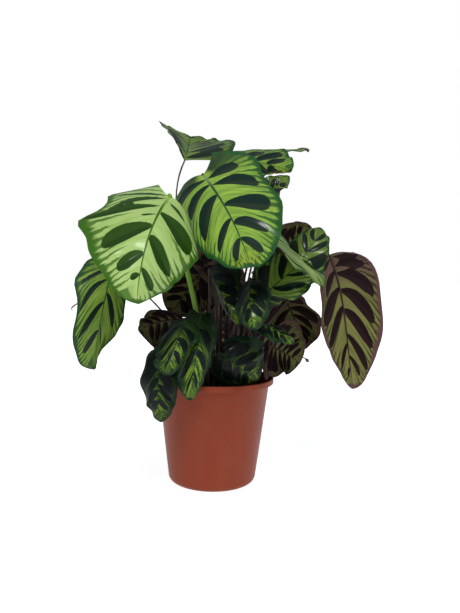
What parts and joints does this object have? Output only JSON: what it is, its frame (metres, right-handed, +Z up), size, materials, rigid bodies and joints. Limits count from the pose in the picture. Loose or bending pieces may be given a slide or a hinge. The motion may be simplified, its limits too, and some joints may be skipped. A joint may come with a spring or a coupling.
{
  "type": "potted calathea",
  "caption": "Peacock-plant calathea with dark oval markings on broad leaves, standing in a tapered round nursery pot with a stepped rim.",
  "frame": {"origin": "centre of the pot's base, on the surface that it stands on", "axes": "+Z up along the pot's axis, -Y towards the side that the tallest patterned leaves face"},
  "size_m": [0.348, 0.3262, 0.4343],
  "materials": {
    "pot_plastic": "injection-moulded terracotta-coloured plastic, satin",
    "soil": "loose dark peat and coir",
    "young_leaf": "pale yellow-green blade with mid-green ovals, waxy",
    "mature_leaf": "light green blade with dark green ovals, waxy, purple-brown beneath",
    "dark_leaf": "dark green blade with nearly black ovals, waxy",
    "purple_leaf": "blade seen from its purple-brown and olive underside, satin"
  },
  "bodies": {
    "root": {"pot": "pot_plastic", "soil": "soil", "leaf_front_high": "mature_leaf", "leaf_front_left_high": "young_leaf", "leaf_top_left": "mature_leaf", "leaf_top_right": "mature_leaf", "leaf_top_right_low": "dark_leaf", "leaf_right_peek": "dark_leaf", "leaf_left_hanging": "mature_leaf", "leaf_right_hanging": "purple_leaf", "leaf_right_high": "mature_leaf", "leaf_right_behind": "purple_leaf", "leaf_right_edge": "mature_leaf", "leaf_right_front": "dark_leaf", "leaf_right_low": "purple_leaf", "leaf_right_rim": "purple_leaf", "leaf_centre_left": "dark_leaf", "leaf_centre": "dark_leaf", "leaf_centre_small": "dark_leaf", "leaf_left_low_behind": "purple_leaf", "leaf_left_front": "dark_leaf", "leaf_front_low": "dark_leaf", "leaf_left_low": "dark_leaf", "leaf_soil_front": "dark_leaf", "leaf_left_behind": "purple_leaf", "leaf_back_high": "mature_leaf", "leaf_back_left_high": "mature_leaf", "leaf_back_right_high": "mature_leaf", "leaf_back_left_low": "dark_leaf", "leaf_back_right_low": "dark_leaf", "leaf_back_low": "dark_leaf", "leaf_back_middle": "dark_leaf", "leaf_back_right_middle": "dark_leaf", "leaf_back_left_middle": "dark_leaf"}
  },
  "joints": []
}
